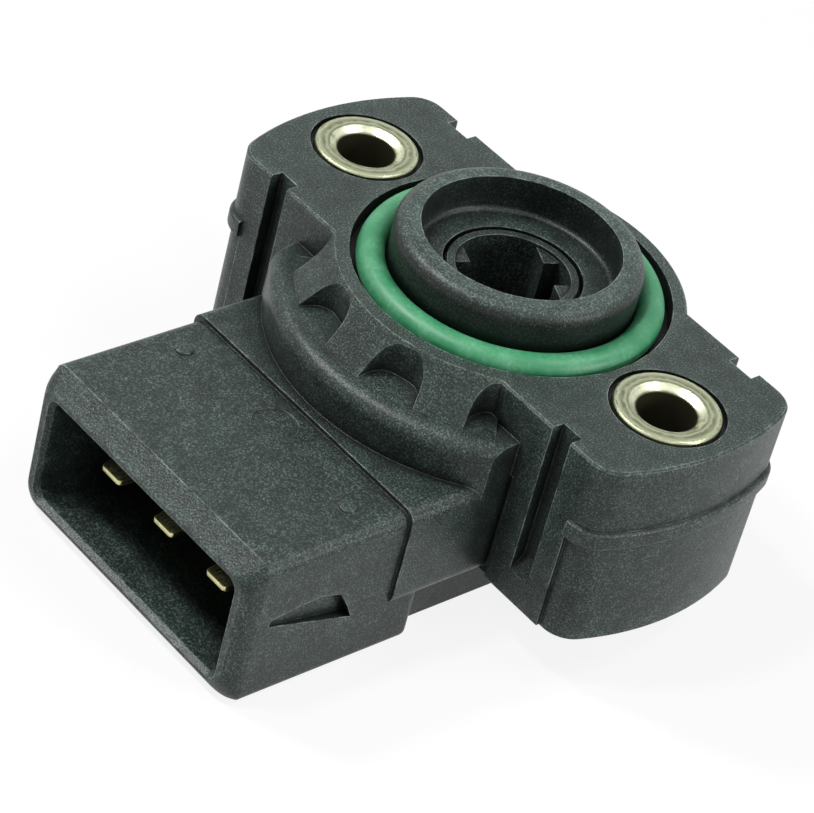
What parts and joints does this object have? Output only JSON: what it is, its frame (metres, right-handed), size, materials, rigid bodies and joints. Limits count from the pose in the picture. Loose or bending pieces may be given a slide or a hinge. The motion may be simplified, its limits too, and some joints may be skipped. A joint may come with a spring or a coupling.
{
  "type": "throttle position sensor",
  "caption": "Rotary throttle position sensor: moulded body with bushed ears, seal round a spigot, sprung rotor with a drive socket and a shrouded blade connector.",
  "frame": {"origin": "on the rotor axis, in the plane of the mounting face, midway between the fixing holes", "axes": "+Z out of the mounting face along the rotor axis, +X through the fixing holes, the connector points along -Y"},
  "size_m": [0.0566, 0.0557, 0.0281],
  "materials": {
    "housing_plastic": "fine moulded grain",
    "cover_plastic": "fine moulded grain",
    "potting": "satin",
    "seal_rubber": "satin",
    "bushing_metal": "plated, turned",
    "blade_metal": "tinned",
    "rotor_plastic": "fine moulded grain",
    "washer_plastic": "natural",
    "spring_steel": "drawn wire",
    "wiper_metal": "stamped",
    "brush_metal": "polished",
    "board_ceramic": "fired",
    "track_film": "printed",
    "collector_film": "printed",
    "solder": "satin"
  },
  "bodies": {
    "body": {"housing": "housing_plastic", "rear_cover": "cover_plastic", "cover_seal": "potting", "o_ring": "seal_rubber", "bushing_left": "bushing_metal", "bushing_right": "bushing_metal", "terminal_1": "blade_metal", "terminal_2": "blade_metal", "terminal_3": "blade_metal", "thrust_washer": "washer_plastic", "preload_washer": "spring_steel", "return_spring": "spring_steel", "resistor_board": "board_ceramic", "resistive_track": "track_film", "collector_track": "collector_film", "solder_joints": "solder"},
    "rotor": {"rotor": "rotor_plastic", "wiper_plate": "wiper_metal", "track_brush": "brush_metal", "collector_brush": "brush_metal"}
  },
  "joints": [
    {"name": "rotor_turn", "type": "hinge", "parent": "body", "child": "rotor", "pos_m": [0, 0, 0], "axis": [0, 0, 1], "range_deg": [0, 100], "stiffness_Nm_per_rad": 0.02, "springref_deg": -28.65, "deforming": ["return_spring"]}
  ]
}
